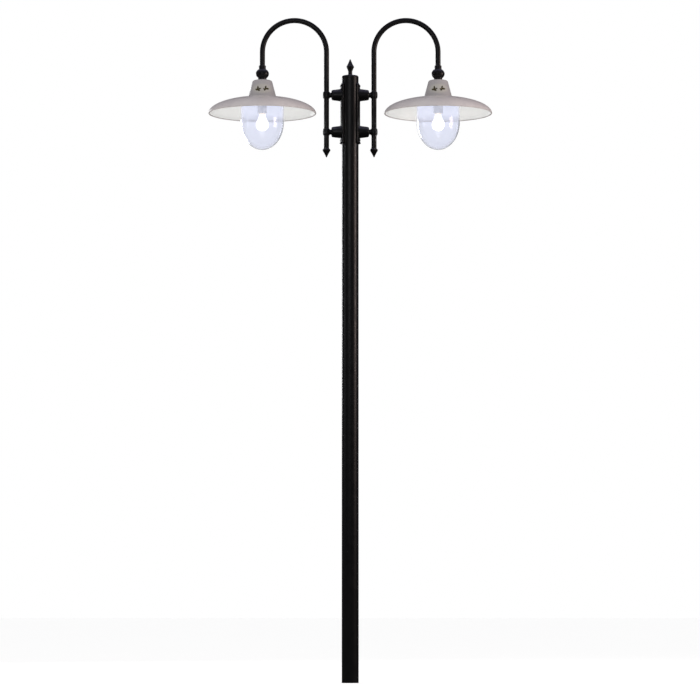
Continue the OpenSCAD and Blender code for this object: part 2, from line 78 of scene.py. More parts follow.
def rounded(corners, closed=True, step=12):
    """The corners of an outline, each with the radius that rounds it as its third number."""
    points = []
    count = len(corners)
    for i, corner in enumerate(corners):
        here = Vector(corner[:2])
        radius = corner[2] if len(corner) > 2 else 0
        if radius == 0 or (not closed and i in (0, count - 1)):
            points.append(tuple(here))
            continue
        back = Vector(corners[i - 1][:2]) - here
        ahead = Vector(corners[(i + 1) % count][:2]) - here
        half = back.angle(ahead) / 2
        reach = min(radius / math.tan(half), 0.49 * back.length, 0.49 * ahead.length)
        radius = reach * math.tan(half)
        centre = here + (back.normalized() + ahead.normalized()).normalized() * radius / math.sin(half)
        first = here + back.normalized() * reach - centre
        last = here + ahead.normalized() * reach - centre
        sweep = first.angle_signed(last)
        steps = max(2, round(abs(math.degrees(sweep)) / step))
        for k in range(steps + 1):
            t = -sweep * k / steps
            turned = Vector((first.x * math.cos(t) - first.y * math.sin(t),
                             first.x * math.sin(t) + first.y * math.cos(t)))
            points.append(tuple(centre + turned))
    return points


def filled(points, longest):
    """The same outline with points added, so that no step is longer than longest."""
    result = []
    for start, end in zip(points, points[1:]):
        parts = max(1, math.ceil(math.dist(start, end) / longest))
        for k in range(parts):
            t = k / parts
            result.append((start[0] + (end[0] - start[0]) * t, start[1] + (end[1] - start[1]) * t))
    return result + [points[-1]]


def hollow_cone(rim, height, nose, dip, steps):
    """The slightly hollow side of a cone, from its rim at height 0 to its blunt point."""
    side = []
    for i in range(steps + 1):
        t = i / steps
        side.append((rim + (nose - rim) * t - dip * 4 * t * (1 - t), (height - nose / 2) * t))
    return side + [(nose * 0.55, height - nose * 0.12), (0, height)]


def smooth_step(value, low, high):
    t = min(1, max(0, (value - low) / (high - low)))
    return t * t * (3 - 2 * t)


# Meshes

def lathe(profile, segments=96, closed=True, shape=None):
    """Vertices and faces of a profile turned round the Z axis, and the profile step each face is on."""
    verts, faces, steps, rings = [], [], [], []
    for r, h in profile:
        start = len(verts)
        if r < 1e-6:
            verts.append((0, 0, h * MM))
            rings.append([start] * segments)
            continue
        for s in range(segments):
            a = 2 * math.pi * s / segments
            rr, hh = shape(r, h, a) if shape else (r, h)
            verts.append((rr * math.cos(a) * MM, rr * math.sin(a) * MM, hh * MM))
        rings.append(list(range(start, start + segments)))
    for i in range(len(profile) if closed else len(profile) - 1):
        lower, upper = rings[i], rings[(i + 1) % len(profile)]
        for s in range(segments):
            t = (s + 1) % segments
            corners = list(dict.fromkeys((lower[s], upper[s], upper[t], lower[t])))
            if len(corners) > 2:
                faces.append(corners)
                steps.append(i)
    return verts, faces, steps


def piece(name, shape, origin, paints, body, replaced=(), zones=None, sharp=38):
    """A new object that rides on a body. zones gives each face's material number from its profile step."""
    verts, faces = shape[:2]
    mesh = bpy.data.meshes.new(name)
    mesh.from_pydata(verts, [], faces)
    for paint in paints:
        mesh.materials.append(paint)
    if zones:
        for face, step in zip(mesh.polygons, shape[2]):
            face.material_index = zones(step)
    tidy = bmesh.new()
    tidy.from_mesh(mesh)
    bmesh.ops.recalc_face_normals(tidy, faces=tidy.faces)
    tidy.to_mesh(mesh)
    tidy.free()
    mesh.shade_smooth()
    mesh.set_sharp_from_angle(angle=math.radians(sharp))
    obj = bpy.data.objects.new(name, mesh)
    bpy.context.scene.collection.objects.link(obj)
    obj.location = origin
    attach(obj, body)
    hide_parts(*replaced)
    return obj


def foot_of(node):
    """The middle of the bottom of a CAD node's box."""
    low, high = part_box(node)
    return Vector(((low.x + high.x) / 2, (low.y + high.y) / 2, low.z))


def top_of(node):
    low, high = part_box(node)
    return Vector(((low.x + high.x) / 2, (low.y + high.y) / 2, high.z))


# Materials

class Finish:
    """A Principled material with its own small node tree, in the object's own coordinates."""

    def __init__(self, name, **inputs):
        self.material = bpy.data.materials.new(name)
        self.material.use_nodes = True
        self.tree = self.material.node_tree
        self.shader = self.tree.nodes["Principled BSDF"]
        self.place = self.add("ShaderNodeTexCoord").outputs["Object"]
        for key, value in inputs.items():
            self.shader.inputs[key.replace("_", " ")].default_value = value

    def add(self, kind, inputs=None, **settings):
        node = self.tree.nodes.new(kind)
        for key, value in settings.items():
            setattr(node, key, value)
        for key, value in (inputs or {}).items():
            if isinstance(value, bpy.types.NodeSocket):
                self.tree.links.new(value, node.inputs[key])
            else:
                node.inputs[key].default_value = value
        return node

    def set(self, key, socket):
        self.tree.links.new(socket, self.shader.inputs[key])

    def noise(self, scale, detail=4, roughness=0.55, stretch=None):
        place = self.place
        if stretch:
            place = self.add("ShaderNodeVectorMath", {0: place, 1: stretch}, operation="MULTIPLY").outputs[0]
        inputs = {"Vector": place, "Scale": scale, "Detail": detail, "Roughness": roughness}
        return self.add("ShaderNodeTexNoise", inputs).outputs["Fac"]

    def cells(self, scale, feature="F1"):
        inputs = {"Vector": self.place, "Scale": scale}
        return self.add("ShaderNodeTexVoronoi", inputs, feature=feature).outputs["Distance"]

    def spread(self, value, low, high, to_low=0.0, to_high=1.0):
        inputs = {"Value": value, "From Min": low, "From Max": high, "To Min": to_low, "To Max": to_high}
        return self.add("ShaderNodeMapRange", inputs, interpolation_type="SMOOTHSTEP").outputs["Result"]

    def maths(self, operation, a, b):
        return self.add("ShaderNodeMath", {0: a, 1: b}, operation=operation).outputs[0]

    def blend(self, factor, a, b):
        node = self.add("ShaderNodeMix", {"Factor": factor}, data_type="RGBA")
        for socket, value in ((node.inputs[6], a), (node.inputs[7], b)):
            if isinstance(value, bpy.types.NodeSocket):
                self.tree.links.new(value, socket)
            else:
                socket.default_value = (*value, 1)
        return node.outputs[2]

    def bump(self, height, distance, strength=1.0):
        previous = self.shader.inputs["Normal"].links
        inputs = {"Height": height, "Distance": distance, "Strength": strength}
        if previous:
            inputs["Normal"] = previous[0].from_socket
        self.set("Normal", self.add("ShaderNodeBump", inputs).outputs["Normal"])


def black_paint(name, cast):
    """Satin black: powder coat on tube, or thicker paint over the skin of a casting."""
    paint = Finish(name, Specular_IOR_Level=0.40)
    base = paint.blend(paint.noise(7, 6), (0.0012, 0.0011, 0.0012), (0.0028, 0.0025, 0.0027))
    normal = paint.add("ShaderNodeNewGeometry").outputs["Normal"]
    facing = paint.add("ShaderNodeSeparateXYZ", {0: normal}).outputs["Z"]
    patches = paint.spread(paint.noise(60, 5), 0.35, 0.75, 0.25, 1.0)
    # Dust and a painted sky reflection: upward-facing faces turn a pale lavender grey in patches.
    dust_and_sheen = paint.maths("MULTIPLY", paint.spread(facing, 0.55, 1.0, 0.0, 0.15), patches)
    base = paint.blend(dust_and_sheen, base, (0.026, 0.025, 0.032))
    rough = paint.spread(paint.noise(26, 5), 0.3, 0.7, 0.30, 0.41)
    if cast:
        worn = paint.add("ShaderNodeNewGeometry").outputs["Pointiness"]
        chips = paint.spread(paint.noise(120, 4), 0.45, 0.65)
        worn = paint.maths("MULTIPLY", paint.spread(worn, 0.52, 0.60), chips)
        base = paint.blend(paint.maths("MULTIPLY", worn, 0.6), base, (0.030, 0.026, 0.024))
        # Painted sky reflection: a blue-lavender sheen on the upward-facing faces of castings, in patches.
        painted_sky_sheen = paint.maths("MULTIPLY", paint.spread(facing, 0.25, 0.7, 0.0, 0.6), patches)
        base = paint.blend(painted_sky_sheen, base, (0.085, 0.080, 0.125))
        paint.bump(paint.noise(210, 5, 0.6), 0.0007, 0.45)
        paint.bump(paint.spread(paint.cells(95), 0.0, 0.16), 0.0005, 0.25)
    else:
        paint.bump(paint.noise(14, 2), 0.0006, 0.25)
    paint.bump(paint.noise(650, 2), 0.00007, 0.5)
    paint.set("Base Color", base)
    paint.set("Roughness", rough)
    return paint.material


def outer_glaze():
    """Pinkish grey glaze: soft clouds, specks, a faint crackle and a cream patch under the sprigs."""
    glaze = Finish("glaze_outside", Specular_IOR_Level=0.5, Coat_Weight=0.25, Coat_Roughness=0.12)
    clouds = glaze.spread(glaze.noise(8, 5), 0.3, 0.7)
    base = glaze.blend(clouds, (0.530, 0.488, 0.490), (0.462, 0.427, 0.434))
    warm = glaze.spread(glaze.noise(3.1, 3), 0.45, 0.7, 0.0, 0.5)
    base = glaze.blend(warm, base, (0.545, 0.475, 0.460))
    runs = glaze.spread(glaze.noise(55, 4, stretch=(1, 1, 0.12)), 0.5, 0.75, 0.0, 0.22)
    base = glaze.blend(runs, base, (0.335, 0.315, 0.325))
    x, y, z = glaze.add("ShaderNodeSeparateXYZ", {0: glaze.place}).outputs
    patch_width, patch_height = 0.050, 0.026
    across = glaze.maths("DIVIDE", x, patch_width)
    up = glaze.maths("DIVIDE", glaze.maths("SUBTRACT", z, SPRIG_Z * MM), patch_height)
    far = glaze.maths("ADD", glaze.maths("POWER", across, 2), glaze.maths("POWER", up, 2))
    # Painted shade: the neck, from 70 mm up, is darker than the dome.
    base = glaze.blend(glaze.spread(z, 0.070, 0.085, 0.0, 0.8), base, (0.318, 0.300, 0.304))
    front = glaze.spread(y, -0.03, -0.01, 1.0, 0.0)
    patch = glaze.maths("MULTIPLY", glaze.spread(far, 0.35, 1.2, 0.55, 0.0), front)
    base = glaze.blend(patch, base, (0.47, 0.445, 0.38))
    crack = glaze.spread(glaze.cells(70, "DISTANCE_TO_EDGE"), 0.0, 0.022, 0.16, 0.0)
    base = glaze.blend(crack, base, (0.24, 0.21, 0.20))
    specks = glaze.spread(glaze.cells(240), 0.07, 0.13, 0.55, 0.0)
    specks = glaze.maths("MULTIPLY", specks, glaze.spread(glaze.noise(31, 3), 0.52, 0.64))
    base = glaze.blend(specks, base, (0.15, 0.12, 0.11))
    glaze.set("Base Color", base)
    glaze.set("Roughness", glaze.spread(glaze.noise(18, 4), 0.3, 0.7, 0.26, 0.40))
    glaze.bump(glaze.noise(38, 3), 0.0010, 0.30)
    glaze.bump(glaze.noise(320, 2), 0.0001, 0.5)
    return glaze.material


def inner_glaze():
    """Smooth white glaze with a few brown specks."""
    glaze = Finish("glaze_inside", Specular_IOR_Level=0.45)
    clouds = glaze.spread(glaze.noise(9, 4), 0.3, 0.7)
    base = glaze.blend(clouds, (0.930, 0.930, 0.897), (0.905, 0.905, 0.873))
    specks = glaze.spread(glaze.cells(120), 0.04, 0.08, 0.35, 0.0)
    specks = glaze.maths("MULTIPLY", specks, glaze.spread(glaze.noise(23, 3), 0.58, 0.66))
    glaze.set("Base Color", glaze.blend(specks, base, (0.33, 0.28, 0.24)))
    glaze.set("Roughness", glaze.spread(glaze.noise(20, 3), 0.3, 0.7, 0.38, 0.50))
    glaze.bump(glaze.noise(28, 3), 0.0003, 0.06)
    return glaze.material


def rim_glaze_and_shade():
    """Where the glaze runs thin over the lip and the clay shows, darkened further as painted shade on the
    lip.
    """
    glaze = Finish("glaze_rim_and_shade", Specular_IOR_Level=0.4)
    # Thin glaze and painted shade: the lip is a darker grey than the dome.
    base = glaze.blend(glaze.spread(glaze.noise(90, 5), 0.35, 0.65), (0.50, 0.46, 0.45), (0.38, 0.35, 0.34))
    glaze.set("Base Color", base)
    glaze.set("Roughness", glaze.spread(glaze.noise(60, 3), 0.3, 0.7, 0.40, 0.60))
    glaze.bump(glaze.noise(260, 4), 0.0003, 0.5)
    return glaze.material


def sprig_glaze():
    """Dark olive glaze with uneven brushed colour."""
    glaze = Finish("glaze_sprig", Specular_IOR_Level=0.5)
    brushed = glaze.spread(glaze.noise(260, 4), 0.35, 0.65)
    base = glaze.blend(brushed, (0.070, 0.056, 0.014), (0.022, 0.018, 0.006))
    glaze.set("Base Color", base)
    glaze.set("Roughness", glaze.spread(glaze.noise(90, 3), 0.3, 0.7, 0.30, 0.45))
    glaze.bump(glaze.noise(500, 3), 0.0002, 0.5)
    return glaze.material


def clear_glass():
    """Blown glass with a faint blue tint, slow waves, and a painted glow near the top that stands in for the
    lit bulb's light.
    """
    glass = Finish("globe_glass", Transmission_Weight=1.0, IOR=1.47, Specular_IOR_Level=0.5,
                   Emission_Strength=1.0)
    height = glass.add("ShaderNodeSeparateXYZ", {0: glass.place}).outputs["Z"]
    # Painted light: the glass glows faintly near its top, as if lit from the bulb inside.
    painted_glow = glass.blend(glass.spread(height, -0.060, 0.0), (0.0, 0.0, 0.0), (0.044, 0.047, 0.062))
    glass.set("Emission Color", painted_glow)
    tint = glass.blend(glass.noise(6, 3), (0.885, 0.902, 0.980), (0.903, 0.917, 0.985))
    glass.set("Base Color", tint)
    glass.set("Roughness", glass.spread(glass.noise(30, 4), 0.35, 0.75, 0.08, 0.14))
    glass.bump(glass.noise(13, 2, stretch=(1, 1, 0.5)), 0.004, 0.25)
    return glass.material


def opal_glass():
    glass = Finish("bulb_opal", Emission_Color=(1.0, 0.96, 0.90, 1), Emission_Strength=1.5)
    base = glass.blend(glass.noise(40, 3), (0.92, 0.91, 0.88), (0.97, 0.96, 0.94))
    glass.set("Base Color", base)
    glass.set("Roughness", glass.spread(glass.noise(150, 4), 0.3, 0.7, 0.32, 0.48))
    glass.bump(glass.noise(900, 3), 0.0001, 0.5)
    return glass.material


def porcelain():
    china = Finish("porcelain_white", Specular_IOR_Level=0.55, Coat_Weight=0.2, Coat_Roughness=0.08)
    base = china.blend(china.spread(china.noise(35, 4), 0.3, 0.7), (0.88, 0.87, 0.84), (0.82, 0.81, 0.78))
    specks = china.spread(china.cells(300), 0.05, 0.09, 0.5, 0.0)
    china.set("Base Color", china.blend(specks, base, (0.40, 0.35, 0.30)))
    china.set("Roughness", china.spread(china.noise(50, 3), 0.3, 0.7, 0.14, 0.26))
    china.bump(china.noise(90, 3), 0.0004, 0.3)
    return china.material


def bare_metal(name, light, dark, roughness):
    """Plated or plain metal with a dull film in patches and fine scratches."""
    metal = Finish(name, Metallic=1.0)
    metal.set("Base Color", metal.blend(metal.spread(metal.noise(70, 6), 0.35, 0.7), light, dark))
    metal.set("Roughness", metal.spread(metal.noise(140, 5), 0.3, 0.7, roughness - 0.08, roughness + 0.12))
    metal.bump(metal.noise(900, 2, stretch=(1, 1, 0.08)), 0.0001, 0.5)
    return metal.material


def soft_plastic(name, light, dark, roughness, grain):
    """Rubber or cable sheath: matt, a little chalky, with a fine grain."""
    plastic = Finish(name, Specular_IOR_Level=0.35)
    plastic.set("Base Color", plastic.blend(plastic.spread(plastic.noise(110, 5), 0.3, 0.7), dark, light))
    dull = plastic.spread(plastic.noise(60, 4), 0.3, 0.7, roughness - 0.06, roughness + 0.1)
    plastic.set("Roughness", dull)
    plastic.bump(plastic.noise(grain, 4), 0.0003, 0.5)
    return plastic.material


def floor_paint():
    floor = Finish("studio_floor", Roughness=0.9, Specular_IOR_Level=0.1, Emission_Strength=0.32)
    floor.shader.inputs["Emission Color"].default_value = (1, 1, 1, 1)
    floor.set("Base Color", floor.blend(floor.noise(0.7, 3), (0.80, 0.80, 0.80), (0.82, 0.82, 0.82)))
    return floor.material


# Height of the sprigs above the shade's rim, and how far each one is turned to the side
SPRIG_Z = 115
SPRIG_TURN = {-1: -19.5, 1: 21.0}

PAINTS = {
    "pole_paint": black_paint("paint_pole", cast=False),
    "arm_paint": black_paint("paint_arm", cast=False),
    "cast_paint": black_paint("paint_casting", cast=True),
    "fastener_paint": black_paint("paint_fastener", cast=False),
    "zinc_steel": bare_metal("steel_zinc", (0.60, 0.60, 0.58), (0.42, 0.42, 0.41), 0.34),
    "brass": bare_metal("brass_plain", (0.76, 0.58, 0.28), (0.55, 0.40, 0.19), 0.30),
    "rubber": soft_plastic("rubber_black", (0.030, 0.030, 0.031), (0.014, 0.014, 0.015), 0.68, 420),
    "lead_sheath": soft_plastic("sheath_grey", (0.27, 0.27, 0.28), (0.20, 0.20, 0.21), 0.50, 700),
    "porcelain": porcelain(),
    "shade_glaze": outer_glaze(),
    "clear_glass": clear_glass(),
    "opal_glass": opal_glass(),
}
INNER_GLAZE = inner_glaze()
RIM_GLAZE_AND_SHADE = rim_glaze_and_shade()
SPRIG_GLAZE = sprig_glaze()


def paint_cad_nodes():
    """Each CAD node takes the material of its own slot."""
    for part in frame["record"]["subparts"]:
        slots = NODES[part["node"]].material_slots
        for slot in slots:
            slot.material = PAINTS[part["material_slot"]]


# The pole's own pieces

def pole_cap():
    """The cast cap: a low crown, a soft edge and a fine groove where it meets the tube."""
    origin = top_of("pole_cap")
    origin.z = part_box("pole_tube")[1].z
    height = (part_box("pole_cap")[1].z - origin.z) / MM
    outline = rounded([
        (6.3, height), (23, height - 0.8, 12), (40, height - 2.5, 9), (40, 1.4, 0.6), (39.2, 0),
        (36.7, 0, 0.3), (36.7, -20, 1), (31.7, -20, 1), (31.7, 0, 2), (6.3, 2),
    ], step=7)
    piece("pole_cap_casting", lathe(outline, 128), origin, [PAINTS["cast_paint"]],
          "pole", ["pole_cap"])


def pole_finial():
    origin = top_of("pole_finial")
    origin.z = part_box("pole_cap")[1].z
    rim = 43
    stem = rounded([
        (0, -16), (6, -16, 0.6), (6, 0), (12, 0, 0.4), (12, 2, 1), (10, 5, 4), (10, 19.5, 8), (11, 22.5, 4),
        (18.0, rim - 3.6, 2.2), (18.75, rim - 2.0, 1.0), (18.3, rim - 0.6, 0.8), (17.55, rim, 0.4),
    ], closed=False, step=9)
    cone = [(r, h + rim) for r, h in hollow_cone(17.55, 35, 2.5, 0.9, 16)]
    piece("finial_casting", lathe(stem[:-1] + cone, 96, closed=False), origin, [PAINTS["cast_paint"]],
          "pole", ["pole_finial"])


def bracket(side):
    """The CAD casting with the small fillets that a foundry pattern has at every corner."""
    voxel, passes = 0.0012, 9
    source = NODES["bracket_" + side]
    mesh = source.data.copy()
    obj = bpy.data.objects.new("bracket_casting_" + side, mesh)
    bpy.context.scene.collection.objects.link(obj)
    weld = obj.modifiers.new("weld", "WELD")
    weld.merge_threshold = 0.00001
    remesh = obj.modifiers.new("remesh", "REMESH")
    remesh.mode, remesh.voxel_size, remesh.adaptivity = "VOXEL", voxel, 0.0
    soften = obj.modifiers.new("soften", "SMOOTH")
    soften.factor, soften.iterations = 0.5, passes
    graph = bpy.context.evaluated_depsgraph_get()
    cast = bpy.data.meshes.new_from_object(obj.evaluated_get(graph))
    obj.modifiers.clear()
    obj.data = cast
    fit_bracket(cast, side)
    cast.materials.clear()
    cast.materials.append(PAINTS["cast_paint"])
    cast.shade_smooth()
    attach(obj, "pole")
    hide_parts("bracket_" + side)


def fit_bracket(mesh, side):
    """Keeps the softened casting clear of the pole and of the arm in its eyes."""
    arm = foot_of("arm_tip_" + side)
    eye_bore, pole_fit, wall = 0.01256, 0.0402, 0.0022
    for vertex in mesh.vertices:
        for axis, least in ((arm, eye_bore), (foot_of_pole, pole_fit)):
            out = Vector((vertex.co.x - axis.x, vertex.co.y - axis.y))
            if least - wall < out.length < least:
                out *= least / out.length
                vertex.co.x, vertex.co.y = axis.x + out.x, axis.y + out.y


def arm_tip(side):
    """The pointed plug in the foot of the arm: the same rim and hollow cone as the finial, upside down."""
    origin = foot_of("arm_tip_" + side)
    origin.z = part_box("arm_tube_" + side)[0].z
    rim, point = 13, 31.5
    stem = rounded([
        (0, -18), (9.7, -18, 1), (9.7, 0), (13.3, 0, 0.5), (14, 3, 3), (17.9, 6.4, 1.6), (18.75, 8.3, 1.4),
        (18.75, rim - 1.0, 0.8), (18.2, rim, 0.4),
    ], closed=False, step=9)
    cone = [(r, h + rim) for r, h in hollow_cone(18.2, point, 2.5, 0.9, 16)]
    outline = [(r, -h) for r, h in stem[:-1] + cone]
    piece("arm_tip_casting_" + side, lathe(outline, 96, closed=False), origin, [PAINTS["cast_paint"]],
          "arm_" + side, ["arm_tip_" + side])


def collar(side):
    origin = foot_of("arm_collar_" + side)
    outline = rounded([
        (12.8, 0), (16.95, 0, 0.6), (16.95, 5.2, 0.8), (16.1, 6.0, 0.6), (16.1, 6.9, 0.6), (16.95, 7.7, 0.8),
        (16.95, 18.5, 2.5), (12.8, 18.5, 0.5),
    ])
    piece("arm_collar_casting_" + side, lathe(outline, 96), origin, [PAINTS["cast_paint"]],
          "arm_" + side, ["arm_collar_" + side])


def knuckle(side):
    """The cast ball, with a fine parting line round it and a soft root where it meets its neck."""
    origin = foot_of("knuckle_" + side)
    top = (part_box("knuckle_" + side)[1].z - origin.z) / MM
    middle, radius, half = 29.93, 31.75, 26.3
    foot_angle = -50.0
    top_angle = math.degrees(math.asin((top - middle) / half)) - 2.5
    ball = arc(0, middle, radius, half, foot_angle, top_angle, 44)
    neck = rounded([(6.8, 0), (20, 0, 1.2), (20, 8.2, 2.5), ball[0]], closed=False)
    socket = 13
    flat = rounded([
        ball[-1], (17.6, top, 1.5), (12.8, top, 0.5), (12.8, top - socket),
        (10, top - socket), (10, 24), (6.8, 21),
    ], closed=False)

    seam_height, seam_width = 0.25, 0.7

    def parting(r, h, a):
        seam = seam_height * math.exp(-((h - middle) / seam_width) ** 2)
        return (r - seam_height + seam if r > 24 else r), h

    outline = neck[:-1] + filled(ball, 1.4) + flat[1:]
    piece("knuckle_casting_" + side, lathe(outline, 128, shape=parting), origin, [PAINTS["cast_paint"]],
          "arm_" + side, ["knuckle_" + side])


# The lamps

# The shade's sizes in millimetres: the rim, the whole height, the dome, the wall and the neck.
# GLAZE_INSET is how far the thrown surface lies inside the CAD's.
SHADE_R, SHADE_H, DOME_H, SHADE_WALL = 259, 162, 80, 7
NECK_TOP_R, NECK_ROOT_R, NECK_EDGE = 48, 68, 11
ROOT_Z = DOME_H * math.sin(math.acos(NECK_ROOT_R / SHADE_R))
EDGE_Z = SHADE_H - NECK_EDGE
NECK_LEAN = (NECK_ROOT_R - NECK_TOP_R) / (EDGE_Z - ROOT_Z)
GLAZE_INSET = 0.10


def shade(side):
    """The thrown and glazed shade: a bell-shaped neck on a shallow dome with a rolled lip."""
    lip = SHADE_WALL / 2
    lean = math.degrees(math.atan(NECK_LEAN))
    root = math.degrees(math.acos(NECK_ROOT_R / SHADE_R))
    inside = math.degrees(math.acos((NECK_ROOT_R - SHADE_WALL) / (SHADE_R - SHADE_WALL)))
    crown = arc(NECK_TOP_R - NECK_EDGE, EDGE_Z, NECK_EDGE, NECK_EDGE, 90, lean, 12)
    dome = arc(0, 0, SHADE_R, DOME_H, root - 1.6, 3, 60)
    neck = rounded([crown[-1], (NECK_ROOT_R, ROOT_Z, 6), dome[0]], closed=False, step=6)
    outside = [(7.2, SHADE_H), (12, SHADE_H, 0)] + filled(crown + neck[1:-1] + dome, 5)
    outside = [point[:2] for point in outside]
    edge = arc(SHADE_R - lip, lip, lip, lip, 0, -180, 12)
    roof = arc(NECK_TOP_R - SHADE_WALL - 5, SHADE_H - 13, 5, 5, lean, 90, 6)
    bowl = arc(0, 0, SHADE_R - SHADE_WALL, DOME_H - SHADE_WALL, 3, inside - 1.6, 50)
    turn = (NECK_ROOT_R - SHADE_WALL, ROOT_Z - SHADE_WALL + 0.4, 5)
    throat = rounded([bowl[-1], turn, roof[0]], closed=False, step=6)
    within = filled(bowl[:-1] + throat + roof[1:], 6) + [(7.2, SHADE_H - 8)]
    rim_from, rim_to = len(outside) - 1, len(outside) + len(edge) - 1

    def thrown(r, h, a):
        loose = smooth_step(r, 50, 230)
        wave = 0.5 + 0.28 * math.sin(2 * a + 0.7) + 0.22 * math.sin(3 * a + 2.1)
        ring = 0.10 * math.sin(h * 0.9 + 1.5 * math.sin(a)) * smooth_step(r, 30, 45)
        fall = 0.5 * loose * (0.5 + 0.5 * math.sin(2 * a + 1.9))
        return r - 0.9 * loose * wave - GLAZE_INSET + ring, h + fall

    def zones(step):
        if step < rim_from:
            return 0
        return 1 if step < rim_to else 2

    turned = lathe(outside + edge + within, 192, shape=thrown)
    paints = [PAINTS["shade_glaze"], RIM_GLAZE_AND_SHADE, INNER_GLAZE]
    piece("shade_ceramic_" + side, turned, foot_of("shade_" + side), paints,
          "arm_" + side, ["shade_" + side], zones)


def leaf(start, angle, length, width):
    """A small pointed leaf in the flat, in millimetres: rows of (along x, up z, height off the surface)."""
    rows, across = 12, 6
    ahead = Vector((math.cos(math.radians(angle)), math.sin(math.radians(angle))))
    aside = Vector((-ahead.y, ahead.x))
    grid = []
    for i in range(rows + 1):
        t = i / rows
        half = width / 2 * math.sin(math.pi * min(1, t * 1.02 + 0.001)) ** 0.75 * (1.15 - 0.35 * t) + 0.15
        bend = 0.12 * length * math.sin(math.pi * t)
        row = []
        for k in range(across + 1):
            s = 2 * k / across - 1
            serrate = 1 + 0.10 * math.sin(t * 38) * abs(s)
            spot = Vector(start) + ahead * length * t + aside * (half * s * serrate + bend)
            vein = 0.12 * math.exp(-(s / 0.18) ** 2)
            row.append((spot.x, spot.y, 0.18 + 0.34 * (1 - s * s) - vein))
        grid.append(row)
    return grid


def sprig(side, hand):
    """Four small raised leaves on the front of the neck, on the side that hand says."""
    verts, faces = [], []
    sink = -0.5
    # Each leaf: where it starts, its angle, its length and its width
    leaves = [
        ((-12, -12), 40, 21, 9.0), ((-3, -4), 6, 18, 10.0), ((-4, -2), 70, 17, 9.5), ((-5, -5), 155, 12, 8.0),
    ]
    centre = math.radians(-90 + SPRIG_TURN[hand])
    for start, angle, length, width in leaves:
        if hand < 0:
            start, angle = (-start[0], start[1]), 180 - angle
        grid = leaf(start, angle, length, width)
        rows, columns = len(grid), len(grid[0])
        base = len(verts)
        for on_top in (True, False):
            for row in grid:
                for across, up, height in row:
                    h = SPRIG_Z + up
                    neck = NECK_ROOT_R - (h - ROOT_Z) * NECK_LEAN
                    r = neck - GLAZE_INSET + (height if on_top else sink)
                    a = centre + across / neck
                    verts.append((r * math.cos(a) * MM, r * math.sin(a) * MM, h * MM))
        layer = rows * columns
        for i in range(rows - 1):
            for k in range(columns - 1):
                corner = base + i * columns + k
                quad = (corner, corner + 1, corner + columns + 1, corner + columns)
                faces.append(quad)
                faces.append(tuple(layer + v for v in reversed(quad)))
        border = [(i, 0) for i in range(rows)] + [(rows - 1, k) for k in range(1, columns)]
        border += [(i, columns - 1) for i in range(rows - 2, -1, -1)]
        border += [(0, k) for k in range(columns - 2, 0, -1)]
        ring = [base + i * columns + k for i, k in border]
        for here, there in zip(ring, ring[1:] + ring[:1]):
            faces.append((here, there, there + layer, here + layer))
    name = "sprig_%s_%s" % (side, "west" if hand < 0 else "east")
    piece(name, (verts, faces), foot_of("shade_" + side), [SPRIG_GLAZE],
          "arm_" + side, sharp=50)


def globe(side):
    """The blown globe: a long round bottom, straight sides, a shoulder and a neck with a moulded thread."""
    origin = foot_of("shade_" + side)
    outer = arc(0, -42, 103, 130, -90, 0, 60) + arc(45.25, 42, 57.75, 24, 0, 84, 26)
    neck = filled([(42.25, 66.5), (42.25, 88)], 0.8)
    inner = arc(45.25, 42, 53.75, 20, 84, 0, 22) + arc(0, -42, 99, 126, 0, -90, 56)
    mouth = [(41.2, 88.3), (39.2, 88.3), (38.25, 87.6), (38.25, 63)]
    outline = filled(outer, 8) + neck + mouth + filled(inner, 8)
    pitch, depth = 6.0, 0.55

    def blown(r, h, a):
        if h > 66 and r > 40:
            groove = 0.5 + 0.5 * math.cos(2 * math.pi * h / pitch - a)
            return r - depth * groove * smooth_step(h, 66.5, 69) * (1 - smooth_step(h, 86, 88)), h
        loose = smooth_step(r, 8, 60) * (1 - smooth_step(h, 40, 62))
        at = Vector((math.cos(a) * 1.3, math.sin(a) * 1.3, h * 0.016))
        wave = 0.5 + 0.5 * noise.noise(at + Vector((0, 0, 7.3 if r < 101 else 0)))
        return r - 0.55 * loose * wave, h

    turned = lathe(outline, 160, closed=False, shape=blown)
    piece("globe_glass_" + side, turned, origin, [PAINTS["clear_glass"]],
          "globe_" + side, ["globe_" + side])


def bulb(side):
    """The opal bulb and its screw cap, with a real thread rolled into the brass."""
    origin = foot_of("shade_" + side)
    radius, middle, throat, wall, turn = 30, -51, 12.5, 1.2, 38
    join_r, join_z = radius * math.cos(math.radians(turn)), middle + radius * math.sin(math.radians(turn))
    foot, steps, taper = -1, 16, 1.7
    drawn = []
    for i in range(1, steps + 1):
        r = throat + (join_r - throat) * (1 - i / steps) ** taper
        drawn.append((r, join_z + (foot - join_z) * i / steps))
    outside = arc(0, middle, radius, radius, -90, turn, 48) + drawn
    inside = [(max(0, r - wall), h) for r, h in drawn[::-1]]
    inside += arc(0, middle, radius - wall, radius - wall, turn, -90, 40)
    glass = lathe(outside + inside, 112, closed=False)
    piece("bulb_glass_opal_" + side, glass, origin, [PAINTS["opal_glass"]],
          "bulb_" + side, ["bulb_glass_" + side])
    pitch, depth = 3.62, 0.85
    low, high = -1, 22
    shell = filled([(13.1, low), (13.1, high)], 0.4) + filled([(12.6, high), (12.6, low)], 0.4)

    def rolled(r, h, a):
        groove = 0.5 + 0.5 * math.cos(2 * math.pi * h / pitch - a)
        rolled_here = smooth_step(h, low + 1, low + 4) * (1 - smooth_step(h, high - 5, high - 2.5))
        return r - depth * groove * rolled_here, h

    piece("bulb_cap_brass_" + side, lathe(shell, 96, shape=rolled), origin, [PAINTS["brass"]],
          "bulb_" + side, ["bulb_cap_" + side])


